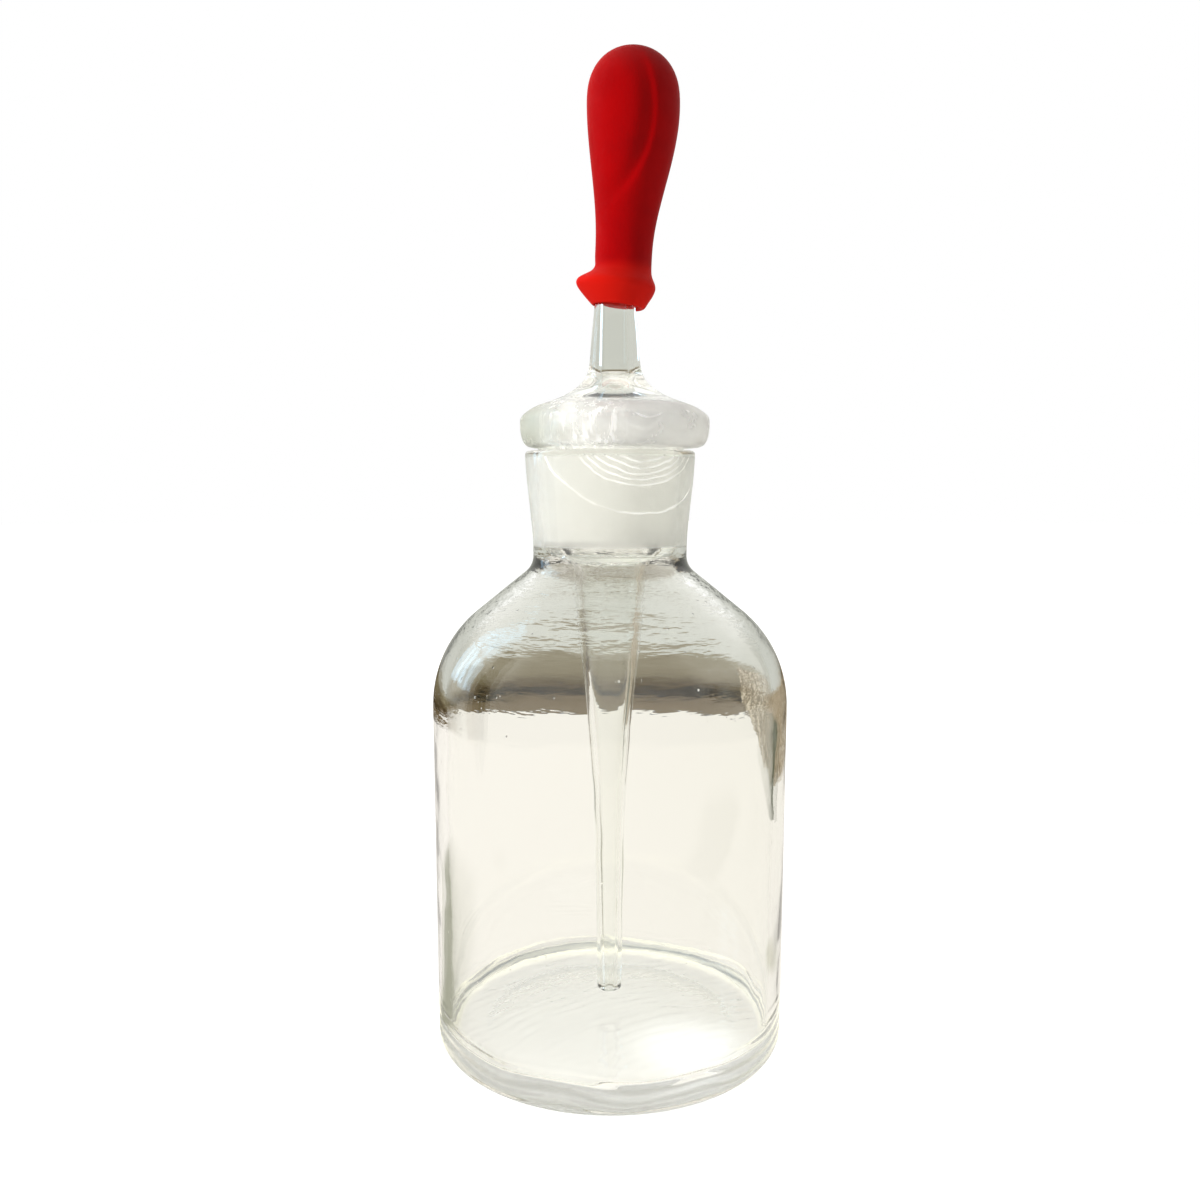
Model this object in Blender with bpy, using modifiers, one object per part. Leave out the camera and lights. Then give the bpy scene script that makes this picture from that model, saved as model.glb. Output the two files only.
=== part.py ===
"""Glass dropping bottle: a round bottle with a ground neck, a one-piece glass pipette
whose hollow stopper seats in that neck, and a red rubber bulb pushed on its top end.

Metres, +Z up. The origin is the centre of the bottle's base, on the surface it stands on.
Every glass piece is a turned profile about Z. The bulb is turned too, in its own frame,
which leans a little to +X on the tube. Its two squeezed sides are cut out of the one
moulding, so that each can swing inwards about a line across the bulb's neck.
"""

import math

import bmesh
import bpy
from mathutils import Matrix, Vector

MM = 0.001
GLASS_STEPS = 40  # facets round both glass pieces, equal so that the ground faces line up
BULB_STEPS = 32
MERGE = 0.00001

# Bottle
BODY_RADIUS = 28.8 * MM
WALL = 2.1 * MM
SHOULDER_HEIGHT = 58.0 * MM  # where the straight side ends
SHOULDER_RADIUS = 18.0 * MM
SHOULDER_ANGLE = 51.6  # degrees from the side to the sloping shoulder
NECK_FOOT_RADIUS = 12.4 * MM
NECK_TOP_RADIUS = 13.5 * MM
MOUTH_HEIGHT = 98.2 * MM
NECK_FILLET = 3.5 * MM
HEEL_RADIUS = 2.6 * MM
FLOOR_HEIGHT = 3.8 * MM  # inside
FLOOR_FILLET = 2.3 * MM
PUNT_RADIUS = 20.0 * MM
PUNT_RISE = 1.1 * MM
STANDING_RING = 21.0 * MM  # inner radius of the flat ring that the bottle stands on
RIM_ROUND = 0.45 * MM

# Ground joint
BORE_TOP_RADIUS = 11.6 * MM
BORE_FOOT_RADIUS = 10.8 * MM
BORE_FOOT_HEIGHT = 82.2 * MM
GROUND_GAP = 0.25 * MM

# Pipette with its stopper
TUBE_RADIUS = 3.9 * MM
TUBE_END_RADIUS = 3.2 * MM
TUBE_BORE = 2.0 * MM
TUBE_TOP = 127.5 * MM
HEAD_RADIUS = 15.05 * MM
HEAD_GAP = 0.55 * MM  # between the mouth's rim and the head above it
PLUG_FOOT_HEIGHT = 84.0 * MM
PLUG_WALL = 1.6 * MM
TIP_HEIGHT = 8.3 * MM
TIP_RADIUS = 2.05 * MM
TIP_BORE = 0.8 * MM

# Rubber bulb, in its own frame with its mouth at z = 0
BULB_MOUTH_HEIGHT = 120.3 * MM
BULB_LEAN = 5.0  # degrees towards +X
BULB_LIP_RADIUS = 4.55 * MM
BULB_BORE = 3.85 * MM
BULB_SEAT_LENGTH = 8.0 * MM  # the stretch that takes the tube's end
BULB_BEAD_RADIUS = 6.25 * MM
BULB_BEAD_HEIGHT = 3.0 * MM
BULB_NECK_RADIUS = 4.7 * MM
BULB_WALL = 1.25 * MM
BULB_RADIUS = 7.35 * MM
BULB_DOME_FOOT = 31.1 * MM
BULB_DOME_RISE = 8.0 * MM

# Squeezed side: a tongue outline, narrow at the hinge and wide at the fingers
TONGUE_FOOT = 13.3 * MM
TONGUE_FOOT_RADIUS = 2.1 * MM
TONGUE_HEAD_HEIGHT = 28.2 * MM
TONGUE_HEAD_RADIUS = 4.3 * MM
TONGUE_GAP = 0.4 * MM
TONGUE_REACH = 12.0 * MM  # how far out the cutter goes
TONGUE_INNER = 0.8 * MM  # how near to the bulb's axis it starts


def arc(centre_x, centre_z, radius, start, end, steps):
    """Points on a circle in the profile plane, from start to end degrees (0 is +X, 90 is +Z)."""
    points = []
    for i in range(steps + 1):
        angle = math.radians(start + (end - start) * i / steps)
        x = centre_x + radius * math.cos(angle)
        points.append((x, centre_z + radius * math.sin(angle)))
    return points


def ellipse(centre_z, half_width, half_height, start, end, steps):
    points = arc(0.0, 0.0, 1.0, start, end, steps)
    return [(x * half_width, centre_z + z * half_height) for x, z in points]


def eased(bottom, top, steps):
    """An S-shaped run between two (radius, height) points, vertical at both ends, ends left out."""
    points = []
    for i in range(1, steps):
        share = i / steps
        blend = share * share * (3 - 2 * share)
        x = bottom[0] + (top[0] - bottom[0]) * blend
        points.append((x, bottom[1] + (top[1] - bottom[1]) * share))
    return points


def material(name, colour, roughness, transmission=0.0):
    made = bpy.data.materials.new(name)
    made.use_nodes = True
    shader = made.node_tree.nodes["Principled BSDF"]
    shader.inputs["Base Color"].default_value = (*colour, 1.0)
    shader.inputs["Roughness"].default_value = roughness
    shader.inputs["Metallic"].default_value = 0.0
    shader.inputs["Transmission Weight"].default_value = transmission
    made.diffuse_color = (*colour, 1.0)
    return made


def turned(name, profile, closed, steps, surface, collection, parent=None):
    """A profile in the XZ plane turned about Z. Its outer side runs from top to bottom."""
    mesh = bpy.data.meshes.new(name)
    edges = [(i, i + 1) for i in range(len(profile) - 1)]
    if closed:
        edges.append((len(profile) - 1, 0))
    mesh.from_pydata([(x, 0.0, z) for x, z in profile], edges, [])
    mesh.materials.append(surface)
    made = bpy.data.objects.new(name, mesh)
    collection.objects.link(made)
    made.parent = parent
    screw = made.modifiers.new("turn", "SCREW")
    screw.axis = "Z"
    screw.angle = math.tau
    screw.steps = steps
    screw.render_steps = steps
    screw.use_merge_vertices = True
    screw.merge_threshold = MERGE
    screw.use_smooth_shade = True
    return made


def shoulder(inset, steps):
    """The shoulder from its sloping end down to the straight side, set in from the outside."""
    radius = SHOULDER_RADIUS - inset
    centre_x = BODY_RADIUS - SHOULDER_RADIUS
    return arc(centre_x, SHOULDER_HEIGHT, radius, SHOULDER_ANGLE, 0.0, steps)


def neck_corner(inset, neck_radius, fillet, steps):
    """The rounded corner between the neck and the sloping shoulder, neck end first."""
    slope = math.radians(SHOULDER_ANGLE)
    foot_x, foot_z = shoulder(inset, 1)[0]
    corner_z = foot_z + (foot_x - neck_radius) / math.tan(slope)
    reach = fillet * math.tan(slope / 2)
    centre_x = neck_radius + fillet
    centre_z = corner_z + reach
    return arc(centre_x, centre_z, fillet, 180.0, 180.0 + SHOULDER_ANGLE, steps)


def bottle_profile():
    inner = [
        (0.0, FLOOR_HEIGHT),
        (BODY_RADIUS - WALL - FLOOR_FILLET, FLOOR_HEIGHT),
    ]
    fillet_x = BODY_RADIUS - WALL - FLOOR_FILLET
    fillet_z = FLOOR_HEIGHT + FLOOR_FILLET
    inner += arc(fillet_x, fillet_z, FLOOR_FILLET, -90.0, 0.0, 4)[1:]
    inner += reversed(shoulder(WALL, 7))
    inner += reversed(neck_corner(WALL, BORE_FOOT_RADIUS, NECK_FILLET, 4))
    inner.append((BORE_FOOT_RADIUS, BORE_FOOT_HEIGHT))
    rim_in_x = BORE_TOP_RADIUS + RIM_ROUND
    rim_out_x = NECK_TOP_RADIUS - RIM_ROUND
    rim_z = MOUTH_HEIGHT - RIM_ROUND
    outer = arc(rim_in_x, rim_z, RIM_ROUND, 180.0, 90.0, 2)
    outer += arc(rim_out_x, rim_z, RIM_ROUND, 90.0, 0.0, 2)
    outer += neck_corner(0.0, NECK_FOOT_RADIUS, NECK_FILLET, 5)
    outer += shoulder(0.0, 9)
    outer += arc(BODY_RADIUS - HEEL_RADIUS, HEEL_RADIUS, HEEL_RADIUS, 0.0, -90.0, 5)
    outer.append((STANDING_RING, 0.0))
    outer.append((PUNT_RADIUS, PUNT_RISE * 0.6))
    outer.append((PUNT_RADIUS * 0.5, PUNT_RISE))
    outer.append((0.0, PUNT_RISE))
    return inner + outer


def bore_radius(height):
    """The ground neck's inner radius at a height."""
    share = (height - BORE_FOOT_HEIGHT) / (MOUTH_HEIGHT - BORE_FOOT_HEIGHT)
    return BORE_FOOT_RADIUS + share * (BORE_TOP_RADIUS - BORE_FOOT_RADIUS)


def stem_outline(extra):
    """The tapered stem below the plug, top to bottom, with extra taken off its radius."""
    stations = (
        (5.95, 78.4),
        (5.55, 73.2),
        (4.9, 66.7),
        (3.75, 56.0),
        (3.0, 47.5),
        (2.5, 40.0),
        (2.25, 26.0),
    )
    return [(radius * MM - extra, height * MM) for radius, height in stations]


def pipette_profile():
    head_floor = MOUTH_HEIGHT + HEAD_GAP
    plug_top = bore_radius(MOUTH_HEIGHT) - GROUND_GAP
    plug_foot = bore_radius(PLUG_FOOT_HEIGHT) - GROUND_GAP
    end = TUBE_END_RADIUS
    outer = [(end - 0.5 * MM, TUBE_TOP), (end, TUBE_TOP - 0.5 * MM)]
    outer += [(end + 0.2 * MM, 119.5 * MM)]
    flare = 3.0 * MM
    outer += arc(TUBE_RADIUS + flare, 111.4 * MM, flare, 180.0, 226.0, 4)
    outer += [(8.6 * MM, 106.3 * MM), (9.9 * MM, 105.55 * MM)]
    crown = 2.7 * MM
    outer += arc(HEAD_RADIUS - crown, 102.0 * MM, crown, 75.0, -20.0, 6)
    outer += [(14.2 * MM, 99.4 * MM), (13.3 * MM, head_floor)]
    outer += [(plug_top + 0.3 * MM, head_floor), (plug_top, MOUTH_HEIGHT - 0.5 * MM)]
    toe = 2.4 * MM
    outer += arc(plug_foot - toe, PLUG_FOOT_HEIGHT, toe, -4.0, -62.0, 3)
    outer += [(6.5 * MM, 80.3 * MM)]
    outer += stem_outline(0.0)
    outer += [(TIP_RADIUS + 0.1 * MM, 12.0 * MM), (TIP_RADIUS, TIP_HEIGHT + 0.4 * MM)]
    inner = [(TIP_RADIUS - 0.45 * MM, TIP_HEIGHT), (TIP_BORE, TIP_HEIGHT)]
    inner += [(TIP_BORE + 0.2 * MM, 14.0 * MM)]
    inner += reversed(stem_outline(1.1 * MM))
    inner += [(5.3 * MM, 80.9 * MM)]
    inner += [(plug_foot - PLUG_WALL - 0.9 * MM, PLUG_FOOT_HEIGHT - 0.2 * MM)]
    inner += [(plug_foot - PLUG_WALL, PLUG_FOOT_HEIGHT + 1.5 * MM)]
    inner += [(plug_top - PLUG_WALL, 97.0 * MM)]
    inner += [(11.2 * MM, 99.6 * MM), (11.9 * MM, 101.2 * MM), (10.8 * MM, 102.7 * MM)]
    inner += [(7.0 * MM, 104.0 * MM), (3.4 * MM, 105.2 * MM), (TUBE_BORE, 107.0 * MM)]
    inner += [(TUBE_BORE, TUBE_TOP - 0.3 * MM), (TUBE_BORE + 0.3 * MM, TUBE_TOP)]
    return outer + inner


def bulb_profile():
    neck_top = (BULB_NECK_RADIUS, 11.0 * MM)
    belly = (BULB_RADIUS, 29.3 * MM)
    outer = ellipse(BULB_DOME_FOOT, BULB_RADIUS, BULB_DOME_RISE, 90.0, 0.0, 7)
    outer += reversed(eased(neck_top, belly, 9))
    outer += [neck_top, (BULB_NECK_RADIUS, 6.6 * MM), (5.3 * MM, 5.0 * MM)]
    outer += arc(BULB_BEAD_RADIUS - 0.7 * MM, BULB_BEAD_HEIGHT, 0.7 * MM, 50.0, -45.0, 3)
    outer += [(BULB_LIP_RADIUS, 1.1 * MM), (BULB_LIP_RADIUS, 0.0)]
    inner = [(BULB_BORE, 0.0), (BULB_BORE, BULB_SEAT_LENGTH)]
    neck_inside = BULB_NECK_RADIUS - BULB_WALL
    inner += [(neck_inside, 9.2 * MM), (neck_inside, neck_top[1])]
    inner += eased(
        (neck_inside, neck_top[1]), (BULB_RADIUS - BULB_WALL, belly[1]), 9
    )
    half_width = BULB_RADIUS - BULB_WALL
    half_height = BULB_DOME_RISE - BULB_WALL
    inner += ellipse(BULB_DOME_FOOT, half_width, half_height, 0.0, 90.0, 7)
    outer[0] = (0.0, outer[0][1])
    inner[-1] = (0.0, inner[-1][1])
    return outer + inner


def tongue_outline(grow):
    """Two circles and their common tangents, as (across, up) points."""
    foot_radius = TONGUE_FOOT_RADIUS + grow
    head_radius = TONGUE_HEAD_RADIUS + grow
    foot_z = TONGUE_FOOT + TONGUE_FOOT_RADIUS
    spread = math.degrees(
        math.asin((head_radius - foot_radius) / (TONGUE_HEAD_HEIGHT - foot_z))
    )
    head = arc(0.0, TONGUE_HEAD_HEIGHT, head_radius, -spread, 180.0 + spread, 13)
    foot = arc(0.0, foot_z, foot_radius, 180.0 + spread, 360.0 - spread, 7)
    return head + foot


def tongue_cutter(name, grow, side, collection, parent):
    """The tongue outline carried from near the bulb's axis out past its wall, on one side."""
    curve = bpy.data.curves.new(name, "CURVE")
    curve.dimensions = "2D"
    curve.fill_mode = "BOTH"
    curve.extrude = (TONGUE_REACH - TONGUE_INNER) / 2
    outline = tongue_outline(grow)
    spline = curve.splines.new("POLY")
    spline.points.add(len(outline) - 1)
    for point, (across, up) in zip(spline.points, outline):
        point.co = (across, up, 0.0, 1.0)
    spline.use_cyclic_u = True
    flat = bpy.data.objects.new(name + "_outline", curve)
    collection.objects.link(flat)
    bpy.context.view_layer.update()
    graph = bpy.context.evaluated_depsgraph_get()
    mesh = bpy.data.meshes.new_from_object(flat.evaluated_get(graph))
    bpy.data.objects.remove(flat)
    middle = side * (TONGUE_REACH + TONGUE_INNER) / 2
    upright = Matrix(((0, 0, 1, middle), (1, 0, 0, 0), (0, 1, 0, 0), (0, 0, 0, 1)))
    mesh.transform(upright)
    solid = bmesh.new()
    solid.from_mesh(mesh)
    bmesh.ops.remove_doubles(solid, verts=solid.verts, dist=MERGE)
    bmesh.ops.recalc_face_normals(solid, faces=solid.faces)
    solid.to_mesh(mesh)
    solid.free()
    cutter = bpy.data.objects.new(name, mesh)
    collection.objects.link(cutter)
    cutter.parent = parent
    cutter.hide_render = True
    cutter.display_type = "WIRE"
    return cutter


def cut(target, cutter, operation):
    modifier = target.modifiers.new(cutter.name, "BOOLEAN")
    modifier.object = cutter
    modifier.operation = operation
    modifier.solver = "EXACT"


def bulb_frame(collection):
    """An empty at the bulb's mouth, leant about the middle of the stretch on the tube."""
    lean = math.radians(BULB_LEAN)
    middle = (TUBE_TOP - BULB_MOUTH_HEIGHT) / 2
    frame = bpy.data.objects.new("bulb_frame", None)
    pivot = Vector((0.0, 0.0, BULB_MOUTH_HEIGHT + middle))
    frame.location = pivot - Vector((math.sin(lean), 0.0, math.cos(lean))) * middle
    frame.rotation_euler = (0.0, lean, 0.0)
    collection.objects.link(frame)
    return frame


def main():
    for obj in list(bpy.data.objects):
        bpy.data.objects.remove(obj)
    parts = bpy.data.collections.new("dropping_bottle")
    cutters = bpy.data.collections.new("cutters")
    for collection in (parts, cutters):
        bpy.context.scene.collection.children.link(collection)

    clear_glass = material("clear_glass", (0.86, 0.88, 0.83), 0.05, 0.9)
    ground_glass = material("stopper_glass", (0.84, 0.86, 0.82), 0.12, 0.8)
    red_rubber = material("red_rubber", (0.62, 0.01, 0.012), 0.42)

    turned("bottle", bottle_profile(), False, GLASS_STEPS, clear_glass, parts)
    dropper = pipette_profile()
    turned("pipette_stopper", dropper, True, GLASS_STEPS, ground_glass, parts)

    frame = bulb_frame(parts)
    skin = bulb_profile()
    bulb = turned("rubber_bulb", skin, False, BULB_STEPS, red_rubber, parts, frame)
    for side, word in ((-1, "left"), (1, "right")):
        window = tongue_cutter(f"window_{word}", TONGUE_GAP, side, cutters, frame)
        cut(bulb, window, "DIFFERENCE")
        tongue = tongue_cutter(f"tongue_{word}", 0.0, side, cutters, frame)
        name = f"bulb_squeeze_wall_{word}"
        wall = turned(name, skin, False, BULB_STEPS, red_rubber, parts, frame)
        cut(wall, tongue, "INTERSECT")


main()
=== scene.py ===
import math

import bpy
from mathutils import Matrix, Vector


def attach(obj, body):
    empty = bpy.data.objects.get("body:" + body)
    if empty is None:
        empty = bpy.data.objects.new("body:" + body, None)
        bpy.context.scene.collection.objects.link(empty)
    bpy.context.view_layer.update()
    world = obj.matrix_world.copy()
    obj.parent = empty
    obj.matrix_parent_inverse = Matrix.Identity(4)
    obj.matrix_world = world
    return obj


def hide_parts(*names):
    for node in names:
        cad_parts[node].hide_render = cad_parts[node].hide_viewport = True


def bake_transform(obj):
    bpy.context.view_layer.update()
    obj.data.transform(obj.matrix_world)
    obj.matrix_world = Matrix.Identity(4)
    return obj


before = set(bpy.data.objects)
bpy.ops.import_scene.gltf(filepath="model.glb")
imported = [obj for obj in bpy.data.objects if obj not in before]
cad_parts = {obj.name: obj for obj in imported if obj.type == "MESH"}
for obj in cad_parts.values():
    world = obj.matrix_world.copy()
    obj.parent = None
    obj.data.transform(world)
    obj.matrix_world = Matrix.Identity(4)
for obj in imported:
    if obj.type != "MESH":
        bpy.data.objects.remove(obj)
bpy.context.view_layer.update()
mm = 0.001


class Wire:
    # a shader socket that works in sums, so that 1 - mask * 2 adds its own nodes
    def __init__(self, tree, socket):
        self.tree = tree
        self.socket = socket

    def add(self, kind, settings, values, out=0):
        made = self.tree.nodes.new(kind)
        for name, value in settings.items():
            if name == "stops":
                stops = made.color_ramp.elements
                while len(stops) < len(value):
                    stops.new(0.5)
                for stop, (place, colour) in zip(stops, value):
                    stop.position = place
                    stop.color = (*colour, 1.0)
            else:
                setattr(made, name, value)
        for name, value in values.items():
            socket = made.inputs[name]
            if isinstance(value, Wire):
                self.tree.links.new(value.socket, socket)
            else:
                socket.default_value = value
        return Wire(self.tree, made.outputs[out])

    def maths(self, operation, first, second):
        return self.add("ShaderNodeMath", {"operation": operation}, {0: first, 1: second})

    def __add__(self, other):
        return self.maths("ADD", self, other)

    def __radd__(self, other):
        return self.maths("ADD", other, self)

    def __sub__(self, other):
        return self.maths("SUBTRACT", self, other)

    def __rsub__(self, other):
        return self.maths("SUBTRACT", other, self)

    def __mul__(self, other):
        return self.maths("MULTIPLY", self, other)

    def __rmul__(self, other):
        return self.maths("MULTIPLY", other, self)

    def __truediv__(self, other):
        return self.maths("DIVIDE", self, other)

    def __pow__(self, other):
        return self.maths("POWER", self, other)

    def rise(self, low, high):  # 0 below low and 1 above high
        settings = {"interpolation_type": "SMOOTHSTEP"}
        values = {"Value": self, "From Min": low, "From Max": high}
        return self.add("ShaderNodeMapRange", settings, values)

    def band(self, low, high, soft):  # 1 between low and high
        return self.rise(low - soft, low + soft) * (1 - self.rise(high - soft, high + soft))

    def blendColours(self, first, second):  # this wire is the share of the second
        values = {0: self, 6: first, 7: second}
        return self.add("ShaderNodeMix", {"data_type": "RGBA"}, values, 2)

    def noise(self, scale, detail, rough=0.5):  # for a wire that carries a place
        values = {"Vector": self, "Scale": scale, "Detail": detail, "Roughness": rough}
        return self.add("ShaderNodeTexNoise", {}, values)


def colour(red, green, blue):
    return (red, green, blue, 1.0)


def placeIn(tree):
    # the place on the piece, in millimetres, and its x, y and z
    start = Wire(tree, None)
    here = start.add("ShaderNodeTexCoord", {}, {}, 3)
    place = start.add("ShaderNodeMapping", {}, {"Vector": here, "Scale": (1000, 1000, 1000)})
    x = place.add("ShaderNodeSeparateXYZ", {}, {0: place}, 0)
    split = x.socket.node
    return place, x, Wire(tree, split.outputs[1]), Wire(tree, split.outputs[2])


def newFinish(name, sockets):
    made = bpy.data.materials.new(name)
    made.use_nodes = True
    shader = made.node_tree.nodes["Principled BSDF"]
    for socket, value in sockets.items():
        shader.inputs[socket].default_value = value
    return made, shader


def feed(wire, shader, socket):
    wire.tree.links.new(wire.socket, shader.inputs[socket])


# turned pieces: a ring of edges is carried from station to station

def roundedBy(centreR, centreZ, radius, start, end, steps):
    found = []
    for i in range(steps + 1):
        angle = math.radians(start + (end - start) * i / steps)
        found.append((centreR + radius * math.cos(angle), centreZ + radius * math.sin(angle)))
    return found


def turnRings(name, stations, steps, startCap=False, endCap=False):
    # a station: radius, height, and if wanted how far its middle is off the axis and its tilt
    rings = [tuple(station) + (0.0,) * (4 - len(station)) for station in stations]
    radius, height, side, tilt = rings[0]
    bpy.ops.object.select_all(action="DESELECT")
    bpy.ops.mesh.primitive_circle_add(
        vertices=steps, radius=radius * mm, fill_type="NGON" if startCap else "NOTHING",
        location=(side * mm, 0, height * mm), rotation=(0, math.radians(tilt), 0),
    )
    piece = bpy.context.active_object
    piece.name = name
    bpy.ops.object.transform_apply(location=True, rotation=True, scale=True)
    bpy.ops.object.mode_set(mode="EDIT")
    bpy.ops.mesh.select_mode(type="EDGE")
    bpy.ops.mesh.select_all(action="SELECT")
    for nextRadius, nextHeight, nextSide, nextTilt in rings[1:]:
        step = ((nextSide - side) * mm, 0, (nextHeight - height) * mm)
        middle = (nextSide * mm, 0, nextHeight * mm)
        bpy.ops.mesh.extrude_edges_move(TRANSFORM_OT_translate={"value": step})
        grow = nextRadius / radius
        bpy.ops.transform.resize(value=(grow, grow, grow), center_override=middle)
        if nextTilt != tilt:
            turn = -math.radians(nextTilt - tilt)  # with no window, rotate turns the other way
            bpy.ops.transform.rotate(value=turn, orient_axis="Y", center_override=middle)
        radius, height, side, tilt = nextRadius, nextHeight, nextSide, nextTilt
    if endCap:
        bpy.ops.mesh.edge_face_add()
    bpy.ops.object.mode_set(mode="OBJECT")
    return piece


def chosenOnly(piece):
    bpy.ops.object.select_all(action="DESELECT")
    piece.select_set(True)
    bpy.context.view_layer.objects.active = piece


def inEdit(piece):
    chosenOnly(piece)
    bpy.ops.object.mode_set(mode="EDIT")


def bridgeEnds(piece):
    inEdit(piece)
    bpy.ops.mesh.select_mode(type="EDGE")
    bpy.ops.mesh.select_all(action="DESELECT")
    bpy.ops.mesh.select_non_manifold(
        extend=False, use_wire=False, use_multi_face=False, use_non_contiguous=False, use_verts=False
    )
    bpy.ops.mesh.bridge_edge_loops()
    bpy.ops.object.mode_set(mode="OBJECT")


def faceOut(piece):
    inEdit(piece)
    bpy.ops.mesh.select_all(action="SELECT")
    bpy.ops.mesh.normals_make_consistent(inside=False)
    bpy.ops.object.mode_set(mode="OBJECT")
    bpy.ops.object.shade_smooth_by_angle(angle=math.radians(50))


def applied(piece, kind, settings):
    chosenOnly(piece)
    added = piece.modifiers.new(kind.lower(), kind)
    for name, value in settings.items():
        setattr(added, name, value)
    bpy.ops.object.modifier_apply(modifier=added.name)


def smoothed(piece, levels):
    applied(piece, "SUBSURF", {"levels": levels, "render_levels": levels})


def rippled(piece, group, size, depth, octaves):
    # slow thick and thin places, as blown and moulded glass has
    texture = bpy.data.textures.new(piece.name + "Ripple", "CLOUDS")
    texture.noise_scale = size * mm
    texture.noise_depth = octaves
    applied(piece, "DISPLACE", {
        "texture": texture, "texture_coords": "LOCAL", "vertex_group": group,
        "strength": depth * mm, "mid_level": 0.5,
    })
    bpy.data.textures.remove(texture)


def groupRings(piece, group, first, steps):
    # every ring from the first on
    made = piece.vertex_groups.new(name=group)
    made.add(list(range(first * steps, len(piece.data.vertices))), 1.0, "REPLACE")


# the bottle

bottle = {
    "steps": 96,
    "bodyRadius": 28.8,
    "wall": 2.1,
    "shoulderZ": 57.6,
    "shoulderRound": 19.5,
    "shoulderAngle": 51.6,
    "neckFootRadius": 12.35,
    "neckFillet": 3.4,
    "mouthZ": 98.2,
    "boreTop": 11.65,
    "boreFoot": 10.85,
    "boreFootZ": 82.2,
    "floorZ": 4.4,
    "floorFillet": 1.9,
    "rippleSize": 17.0,
    "ripple": 0.045,
}


def neckCorner(inset, neckRadius, sizes):
    angle = math.radians(sizes["shoulderAngle"])
    arcRadius = sizes["shoulderRound"] - inset
    footR = sizes["bodyRadius"] - sizes["shoulderRound"] + arcRadius * math.cos(angle)
    footZ = sizes["shoulderZ"] + arcRadius * math.sin(angle)
    fillet = sizes["neckFillet"] + inset * 0.3
    cornerZ = footZ + (footR - neckRadius) / math.tan(angle)
    centreZ = cornerZ + fillet * math.tan(angle / 2)
    return roundedBy(neckRadius + fillet, centreZ, fillet, 180 + sizes["shoulderAngle"], 180, 6)


def buildBottle(sizes):
    body, turn = sizes["bodyRadius"], sizes["shoulderRound"]
    outside = [(0.6, 1.1), (5, 1.1), (11, 1.0), (16, 0.8), (19.6, 0.45), (20.8, 0.12), (21.4, 0.0)]
    outside += [(23.6, 0.0), (25.6, 0.0)]
    outside += roundedBy(body - 3.1, 3.1, 3.1, -78, 0, 6)
    outside += [(body, z) for z in (5.0, 9.0, 16.0, 26.0, 36.0, 46.0, 53.0)]
    outside += roundedBy(body - turn, sizes["shoulderZ"], turn, 0, sizes["shoulderAngle"], 12)
    outside += neckCorner(0.0, sizes["neckFootRadius"], sizes)
    outside += [(12.38, 84.2), (12.55, 86.2), (12.85, 89.6), (13.2, 92.6), (13.42, 95.0), (13.5, 96.9)]
    outside += roundedBy(13.0, 97.65, 0.55, 0, 90, 4)
    inside = roundedBy(sizes["boreTop"] + 0.5, 97.7, 0.5, 90, 180, 4)
    inside += [(11.5, 95.6), (11.3, 91.6), (11.1, 87.6), (10.92, 84.0)]
    inside += [(sizes["boreFoot"], sizes["boreFootZ"])]
    inside += reversed(neckCorner(sizes["wall"], sizes["boreFoot"], sizes)[:-1])
    inner = turn - sizes["wall"]
    inside += roundedBy(body - turn, sizes["shoulderZ"], inner, sizes["shoulderAngle"], 0, 12)
    wallRadius = body - sizes["wall"]
    inside += [(wallRadius, z) for z in (53.0, 46.0, 36.0, 26.0, 16.0, 10.0)]
    fillet = sizes["floorFillet"]
    inside += roundedBy(wallRadius - fillet, sizes["floorZ"] + fillet, fillet, 0, -90, 6)
    inside += [(22.0, 4.4), (17.0, 4.5), (11.0, 4.65), (5.0, 4.75), (0.6, 4.75)]
    piece = turnRings("bottleShell", outside + inside, sizes["steps"], startCap=True, endCap=True)
    groupRings(piece, "inside", len(outside) + 9, sizes["steps"])
    smoothed(piece, 1)
    faceOut(piece)
    rippled(piece, "inside", sizes["rippleSize"], sizes["ripple"], 1)
    print("Bottle turned:", len(piece.data.polygons), "faces")
    return piece


# the pipette with its ground stopper

pipette = {
    "steps": 80,
    "headRadius": 15.05,
    "headAside": 0.74,  # the head and tube were drawn a little to one side of the plug
    "plugTop": 11.38,
    "plugFoot": 10.68,
    "rippleSize": 9.0,
    "ripple": 0.025,
}


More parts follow.
